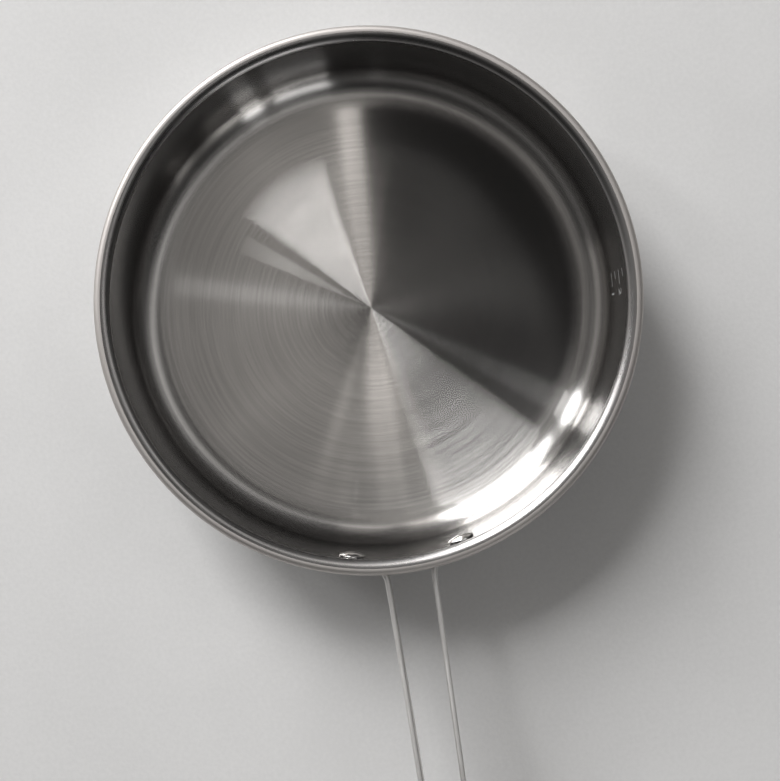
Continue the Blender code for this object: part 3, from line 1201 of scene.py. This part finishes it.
        middle = graph.sample(source, graph.position(), station, vector)
        sideways, upward = carried("sideways", vector), carried("upward", vector)
        tall, run = carried("tall", "FLOAT"), carried("run", "FLOAT")
        corner = graph.split(graph.sample(ring, graph.named("corner", vector), turn, vector))
        rounding = graph.split(graph.sample(ring, graph.position(), turn, vector))

        def offset(size: Socket, axis: int) -> Socket:
            """How far a point lies from the middle along one axis of the section.

            Args:
                size: The section's size along the axis.
                axis: 0 across the strip and 1 up it.

            Returns:
                The distance's socket.
            """
            half = graph.math("SUBTRACT", graph.math("MULTIPLY", size, 0.5), edge)
            flat = graph.math("MULTIPLY", corner[axis], half)
            return graph.math("ADD", flat, graph.math("MULTIPLY", rounding[axis], edge))

        across, up = offset(thickness, 0), offset(tall, 1)
        moved = graph.vector("ADD", graph.scale(sideways, across), graph.scale(upward, up))
        place = graph.vector("ADD", middle, moved)
        shape = graph.change("GeometryNodeSetPosition", grid.outputs["Mesh"], {"Position": place})
        chart = graph.combine(run, graph.math("ADD", up, across))
        shape = graph.store(shape, self.CHART, chart, "FLOAT2", "CORNER")
        graph.finish(graph.weld(shape), [finish])
        return graph.tree

    def build(self) -> None:
        """Makes and dresses the handle."""
        path = self.station_mesh()
        section = link("strip_section", self.section_mesh())
        settings = {
            "Stations": len(path.vertices),
            "Section points": len(section.data.vertices),
            "Thickness": self.strip,
            "Edge radius": self.edge_radius,
        }
        tree = self.sweeping_tree(settings, section, STRIP_STEEL.build())
        piece = grow("handle_bent_strip", tree, path, settings)
        bpy.data.objects.remove(section, do_unlink=True)
        settle(piece, "handle_steel", "handle_strip")


@dataclass
class Rivets:
    """The two rivets, head inside the pan and tail on the tab.

    Attributes:
        handle: The handle that they hold.
        shank_radius: Radius of the shank.
        head: Radius, height and straight edge of the head.
        tail: Radius, height and straight edge of the tail.
        head_seat: From the wall's inner face to the head's seat, along the rivet.
        head_skirt: How far the head's edge reaches below its seat, onto the round wall.
        tail_seat: From the wall's inner face to the tail's seat, along the rivet.
        tail_skirt: How far the tail's edge reaches past its seat, onto the tab.
        dome_share: How much of the ball's reach the dome takes before its rim softens.
        steps: Fineness round each rivet.
    """

    handle: StripHandle
    shank_radius: float = 0.0027
    head: tuple[float, float, float] = (0.0068, 0.0020, 0.0005)
    tail: tuple[float, float, float] = (0.0050, 0.0015, 0.0004)
    head_seat: float = 0.00047
    head_skirt: float = 0.00050
    tail_seat: float = 0.0044
    tail_skirt: float = 0.00035
    dome_share: float = 0.94
    steps: int = 96

    DOME_STEPS = 18
    RIM_STEPS = 5
    # How far up the straight edge the softened rim ends.
    RIM_END = 0.5

    def cap(self, sizes: tuple[float, float, float], base: float, skirt: float, facing: int) -> list[Point]:
        """A low dome with a softened rim on a short straight edge.

        Args:
            sizes: Radius, height and straight edge.
            base: Where the dome sits on the rivet's axis.
            skirt: How far the edge reaches past the base.
            facing: 1 for a dome towards +Z and -1 for one towards -Z.

        Returns:
            Its (radius, level) points, from the dome's top outwards.
        """
        radius, height, edge = sizes
        crown = height - edge
        ball = (radius**2 + crown**2) / (2 * crown)
        reach = math.asin(radius / ball)
        turns = spread(0.0, reach * self.dome_share, self.DOME_STEPS)
        points = [(ball * math.sin(turn), height - ball * (1 - math.cos(turn))) for turn in turns]
        start_radius, start_level = points[-1]
        for turn in spread(0.0, math.pi / 2, self.RIM_STEPS)[1:]:
            side = start_radius + (radius - start_radius) * math.sin(turn)
            down = start_level - (start_level - edge * self.RIM_END) * (1 - math.cos(turn))
            points.append((side, down))
        points.append((radius, -skirt))
        return [(r, base + facing * level) for r, level in points]

    def build(self) -> None:
        """Makes and dresses both rivets, left first."""
        head_side = self.head_seat - self.head_skirt
        tail_side = -self.tail_seat + self.tail_skirt
        points = self.cap(self.head, self.head_seat, self.head_skirt, 1)
        points += [(self.shank_radius, head_side), (self.shank_radius, tail_side)]
        points += self.cap(self.tail, -self.tail_seat, self.tail_skirt, -1)[::-1]
        zones = [0] * (len(points) - 1)
        finishes = [RIVET_STEEL.build()]
        body, level = self.handle.body, self.handle.tab_level
        up = Vector((0.0, 0.0, 1.0))
        for side in Side:
            name = f"rivet_{side.name.lower()}"
            piece = turned(f"{name}_stud", points, zones, self.steps, finishes)
            turn = side.value * self.handle.rivet_turn
            outward = Vector((math.sin(turn), -math.cos(turn), 0.0))
            origin = outward * body.wall_radius(level) + up * level
            inward = -outward * math.cos(body.lean) + up * math.sin(body.lean)
            place = Matrix.Translation(origin) @ inward.to_track_quat("Z", "Y").to_matrix().to_4x4()
            piece.data.transform(place)
            settle(piece, "rivet_steel", name)


@dataclass
class VolumeMarks:
    """Plain etched marks on the inner wall: a tick for every half litre, and numbers.

    Attributes:
        body: The pan's body, which they lie on.
        turn_deg: Where they stand, from +X round the axis.
        litres: The last volume that is marked.
        tick: Width and height of a full litre's tick.
        half_share: Width of a half litre's tick, as a share of a full one's.
        text_size: Size of the numbers.
        text_aside: From the ticks' middle to the numbers' middle, round the wall.
        stand_off: How far they stand off the wall, so that they show.
        fill_step: Fineness of the sum that finds the levels.
    """

    body: PanBody
    turn_deg: float = -3.0
    litres: int = 2
    tick: Point = (0.0075, 0.0007)
    half_share: float = 0.55
    text_size: float = 0.0085
    text_aside: float = 0.0078
    stand_off: float = 0.00003
    fill_step: float = 0.00005

    TEXT_FINENESS = 6
    # Points along a tick, so that it follows the round wall, and across it.
    TICK_POINTS = (9, 2)

    def level_of(self, litres: float) -> float:
        """The level that a volume reaches.

        Args:
            litres: The volume.

        Returns:
            The level above the table.
        """
        floor, corner = self.body.cooking_level, self.body.corner_radius
        level, filled = floor, 0.0
        while filled < litres * CUBIC_METRES_PER_LITRE:
            rise = level - floor
            radius = self.body.wall_radius(level)
            if rise < corner:
                radius = self.body.flat_radius + math.sqrt(max(0.0, corner**2 - (corner - rise) ** 2))
            filled += math.pi * radius**2 * self.fill_step
            level += self.fill_step
        return level

    def numbers(self) -> Mesh:
        """The numbers as a flat mesh, X round the wall and Y up it.

        Returns:
            The mesh.
        """
        bm = bmesh.new()
        for litre in range(1, self.litres + 1):
            text = bpy.data.curves.new(f"number_{litre}", "FONT")
            text.body = str(litre)
            text.size = self.text_size
            text.align_x = text.align_y = "CENTER"
            text.resolution_u = self.TEXT_FINENESS
            holder = link(text.name, text)
            mesh = baked(holder)
            mesh.transform(Matrix.Translation((self.text_aside, self.level_of(litre), 0.0)))
            bm.from_mesh(mesh)
            bpy.data.objects.remove(holder, do_unlink=True)
            bpy.data.meshes.remove(mesh)
        bmesh.ops.triangulate(bm, faces=bm.faces)
        made = bpy.data.meshes.new("flat_numbers")
        bm.to_mesh(made)
        bm.free()
        return made

    def marking_tree(self, settings: Settings, rows: Object, finish: Material) -> bpy.types.NodeTree:
        """Builds the tree that adds the ticks and lays everything on the wall.

        Args:
            settings: The ticks' size, where the marks stand, and the wall that they lie on.
            rows: An object with one point for each tick, which carries its width share.
            finish: The marks' material.

        Returns:
            The tree.
        """
        graph, sockets = ShapeGraph.begin("wall_marks", settings)
        numbers, width, height, turn, wall, level, lean, stand_off = sockets
        points = graph.add("GeometryNodeObjectInfo", {"Object": rows}).outputs["Geometry"]
        long, tall = self.TICK_POINTS
        feeds = {"Size X": width, "Size Y": height, "Vertices X": long, "Vertices Y": tall}
        bar = graph.add("GeometryNodeMeshGrid", feeds).outputs["Mesh"]
        size = graph.combine(graph.named("share", "FLOAT"), 1.0, 1.0)
        feeds = {"Points": points, "Instance": bar, "Scale": size}
        ticks = graph.add("GeometryNodeInstanceOnPoints", feeds).outputs[0]
        ticks = graph.change("GeometryNodeRealizeInstances", ticks)
        both = graph.add("GeometryNodeJoinGeometry", {0: ticks})
        graph.feed(both, {0: numbers})

        x, y, _ = graph.split(graph.position())
        drop = graph.math("SUBTRACT", level, y)
        radius = graph.math("SUBTRACT", wall, graph.math("MULTIPLY", drop, graph.math("TANGENT", lean)))
        radius = graph.math("SUBTRACT", radius, stand_off)
        angle = graph.math("SUBTRACT", turn, graph.math("DIVIDE", x, wall))
        flat = [graph.math("MULTIPLY", radius, graph.math(wave, angle)) for wave in ("COSINE", "SINE")]
        place = graph.combine(*flat, y)
        shape = graph.change("GeometryNodeSetPosition", both.outputs[0], {"Position": place})
        graph.finish(shape, [finish])
        return graph.tree

    def build(self) -> None:
        """Makes and dresses the marks."""
        halves = range(1, 2 * self.litres + 2)
        shares = [1.0 if half % 2 == 0 else self.half_share for half in halves]
        width = self.tick[0]
        points = [(width * (s - 1.0) / 2, self.level_of(h / 2), 0.0) for s, h in zip(shares, halves)]
        rows = link("tick_rows", point_mesh("tick_rows", points, {"share": shares}))
        settings = {
            "Tick width": width,
            "Tick height": self.tick[1],
            "Turn": math.radians(self.turn_deg),
            "Wall radius": self.body.wall_top_radius,
            "Wall level": self.body.wall_top,
            "Lean": self.body.lean,
            "Stand off": self.stand_off,
        }
        tree = self.marking_tree(settings, rows, ETCHED_STEEL.build())
        piece = grow("volume_marks", tree, self.numbers(), settings, solid=False)
        bpy.data.objects.remove(rows, do_unlink=True)
        settle(piece, "body_steel")


# Light, floor and camera


def standing(place: Vector, side: Vector, up: Vector, back: Vector) -> Matrix:
    """Where a lamp or a camera stands, which looks away from its back."""
    return Matrix.Translation(place) @ Matrix((side, up, back)).transposed().to_4x4()


@dataclass(frozen=True)
class Softbox:
    """A flat lamp that faces the pan.

    Attributes:
        name: Its name.
        turn_deg: Its direction from +X round the pan's axis.
        zenith_deg: How far from straight above it stands.
        width_deg: How wide it looks from the pan, round the axis.
        height_deg: How tall it looks from the pan.
        radiance: How bright its face is, where 1 is white.
        colour: Its colour.
        roll_deg: How far it is turned about the line to the pan.
        distance: How far from the pan it stands, in metres.
    """

    name: str
    turn_deg: float
    zenith_deg: float
    width_deg: float
    height_deg: float
    radiance: float
    colour: Colour = WHITE
    roll_deg: float = 0.0
    distance: float = 4.0

    def build(self) -> None:
        """Makes the lamp."""
        turn = math.radians(self.turn_deg)
        towards = heading(turn, math.radians(self.zenith_deg))
        level = Vector((-math.sin(turn), math.cos(turn), 0.0))
        side = Matrix.Rotation(math.radians(self.roll_deg), 3, towards) @ level
        lamp = bpy.data.lights.new(self.name, "AREA")
        lamp.shape = "RECTANGLE"
        lamp.size = 2 * self.distance * math.tan(math.radians(self.width_deg) / 2)
        lamp.size_y = 2 * self.distance * math.tan(math.radians(self.height_deg) / 2)
        lamp.energy = self.radiance * math.pi * lamp.size * lamp.size_y
        lamp.color = self.colour
        holder = link(self.name, lamp)
        holder.matrix_world = standing(towards * self.distance, side, towards.cross(side), towards)
        holder.visible_camera = False
        log.info("lamp %s", self.name)


@dataclass
class Studio:
    """The table top, the sky and the lamps.

    Attributes:
        floor_radius: Radius of the table top.
        floor_level: Its level, just under the pan.
        floor_sides: How many sides its edge has.
        sky_colour: The sky's colour.
        sky_base: Brightness of the sky where nothing glows.
        low_glow: Brightness of the low sky on the left and on the right.
        low_sides: Between which X of a direction the low sky changes from left to right.
        low_heights: Between which Z of a direction the low sky fades out.
        ring_centre: Middle of the sky's bright oval ring, as a flat direction.
        ring_size: Its half width and half depth.
        ring_glow: Its brightness on the left and on the right.
        ring_sides: Between which X of a direction it changes from left to right.
        ring_inner: Where it fades in, as shares of its half size.
        ring_outer: Where it fades out, as shares of its half size.
        lamps: The lamps.
    """

    floor_radius: float = 9.0
    floor_level: float = -0.0002
    floor_sides: int = 96
    sky_colour: Colour = (1.0, 0.985, 0.97)
    sky_base: float = 0.01
    low_glow: Point = (0.28, 0.08)
    low_sides: Point = (-0.5, 0.2)
    low_heights: Point = (0.20, 0.60)
    ring_centre: Point = (0.0, 0.21)
    ring_size: Point = (0.62, 0.36)
    ring_glow: Point = (0.15, 1.20)
    ring_sides: Point = (-0.12, 0.08)
    ring_inner: Point = (0.75, 1.0)
    ring_outer: Point = (1.05, 1.35)
    lamps: tuple[Softbox, ...] = (
        Softbox("window_wide", 116.1, 44.0, 21.0, 12.0, 16.0),
        Softbox("window_low", 116.1, 61.5, 20.0, 21.0, 14.5),
        Softbox("window_narrow", 141.2, 46.0, 4.6, 5.5, 7.5),
        Softbox("window_narrow_low", 141.2, 59.0, 5.5, 20.0, 14.0),
        Softbox("ceiling_near", 129.4, 7.9, 15.5, 6.2, 0.21, WARM, 41.7),
        Softbox("ceiling_left", 161.2, 11.7, 28.0, 17.0, 0.21, WARM, 9.9),
        Softbox("ceiling_middle", -139.5, 3.9, 5.5, 1.6, 0.30, WARM, -49.4),
        Softbox("low_left", 145.0, 66.0, 70.0, 24.0, 0.32, WARM),
        Softbox("low_right_near", -67.4, 68.0, 5.0, 26.0, 2.4),
        Softbox("low_right_far", -81.9, 66.0, 14.0, 22.0, 1.6),
        Softbox("strip_far", 92.9, 15.0, 1.2, 8.0, 0.95, WARM, -6.5),
        Softbox("strip_middle", 98.4, 7.8, 1.2, 6.4, 0.78, WARM, -11.8),
        Softbox("strip_near", 165.0, 1.45, 1.4, 4.2, 1.10, WARM, -77.4),
        Softbox("strip_end", -113.5, 3.9, 1.4, 4.8, 0.50, WARM, 21.1),
        Softbox("shoulder_near", 141.9, 0.9, 0.9, 4.4, 0.25, WARM, -42.8),
        Softbox("shoulder_end", -89.8, 3.9, 1.2, 4.0, 0.25, WARM, 8.9),
        Softbox("faint_strip", -163.4, 3.8, 0.5, 5.6, 0.32, WARM, 48.5),
        Softbox("high_haze", 99.0, 41.0, 9.0, 18.0, 1.5, WARM),
        Softbox("high_glow", 83.0, 41.0, 8.0, 13.0, 0.8, WARM),
        Softbox("side_strip", 140.7, 8.6, 0.9, 9.5, 0.30, WHITE, 24.3),
    )

    def floor(self) -> None:
        """Makes the table top."""
        bm = bmesh.new()
        bmesh.ops.create_circle(bm, cap_ends=True, segments=self.floor_sides, radius=self.floor_radius)
        bmesh.ops.translate(bm, verts=bm.verts, vec=(0.0, 0.0, self.floor_level))
        mesh = bpy.data.meshes.new("table_top")
        bm.to_mesh(mesh)
        bm.free()
        mesh.materials.append(TABLE_TOP.build())
        floor = link("table_top", mesh)

    def sky(self) -> None:
        """Makes the sky: pale low on the left, with a soft bright ring high up."""
        world = bpy.data.worlds.new("studio_sky")
        bpy.context.scene.world = world
        world.use_nodes = True
        graph = NodeGraph(world.node_tree)
        x, y, up = graph.split(graph.add("ShaderNodeTexCoord").outputs["Generated"])
        low_glow = graph.ramp(x, *self.low_sides, *self.low_glow)
        low = graph.math("MULTIPLY", graph.ramp(up, *self.low_heights, 1.0, 0.0), low_glow)
        wide, deep = self.ring_size
        scaled = graph.vector("DIVIDE", graph.combine(x, y), (wide, deep, 1.0))
        middle = (self.ring_centre[0] / wide, self.ring_centre[1] / deep, 0.0)
        away = graph.vector("DISTANCE", scaled, middle)
        inner = graph.ramp(away, *self.ring_inner, 0.0, 1.0)
        outer = graph.ramp(away, *self.ring_outer, 1.0, 0.0)
        side = graph.ramp(x, *self.ring_sides, *self.ring_glow)
        ring = graph.math("MULTIPLY", graph.math("MULTIPLY", inner, outer), side)
        high = graph.math("MULTIPLY", ring, graph.math("GREATER_THAN", up, 0.0))
        glow = graph.math("ADD", graph.math("ADD", low, self.sky_base), high)
        background = graph.tree.nodes["Background"]
        graph.feed(background, {"Color": (*self.sky_colour, 1.0), "Strength": glow})

    def build(self) -> None:
        """Makes the floor, the sky and every lamp."""
        self.floor()
        self.sky()
        for lamp in self.lamps:
            lamp.build()


@dataclass
class OverheadCamera:
    """The camera, almost straight above the pan.

    Attributes:
        foot: The point under it.
        height: Its height above the lip.
        focal_px: Its focal length in pixels of the picture.
        turn_deg: How far the picture is turned, so that the handle leaves to the lower right.
        aim_shift: How far the middle of the picture lies from the foot, to the picture's right.
        crown: Level of the lip's top.
        near: The nearest distance that it shows.
    """

    foot: Point = (0.0154, -0.0492)
    height: float = 0.650
    focal_px: float = 1271.0
    turn_deg: float = 8.9
    aim_shift: float = -0.01125
    crown: float = 0.0648
    near: float = 0.01

    def build(self) -> None:
        """Makes the camera and makes it the scene's own."""
        turn = math.radians(self.turn_deg)
        right = Vector((math.cos(turn), -math.sin(turn), 0.0))
        place = Vector((*self.foot, self.crown + self.height))
        target = Vector((*self.foot, self.crown)) + right * self.aim_shift
        forward = (target - place).normalized()
        side = forward.cross(Vector((math.sin(turn), math.cos(turn), 0.0))).normalized()
        data = bpy.data.cameras.new("overhead_camera")
        data.sensor_width = SENSOR_MM
        data.lens = self.focal_px * SENSOR_MM / max(PICTURE_PX)
        data.clip_start = self.near
        camera = link("overhead_camera", data)
        camera.matrix_world = standing(place, side, side.cross(forward), -forward)
        bpy.context.scene.camera = camera


def main() -> None:
    """Builds the pan's pieces, the studio and the camera."""
    logging.basicConfig(level=logging.INFO, format="%(name)s: %(message)s")
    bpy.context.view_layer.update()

    body = PanBody()
    body.build()
    PanBase(body).build()
    handle = StripHandle(body)
    handle.build()
    Rivets(handle).build()
    VolumeMarks(body).build()
    Studio().build()
    OverheadCamera().build()
    bpy.context.scene.view_settings.view_transform = "Standard"

    log.info("sizes written")


if __name__ == "__main__":
    main()
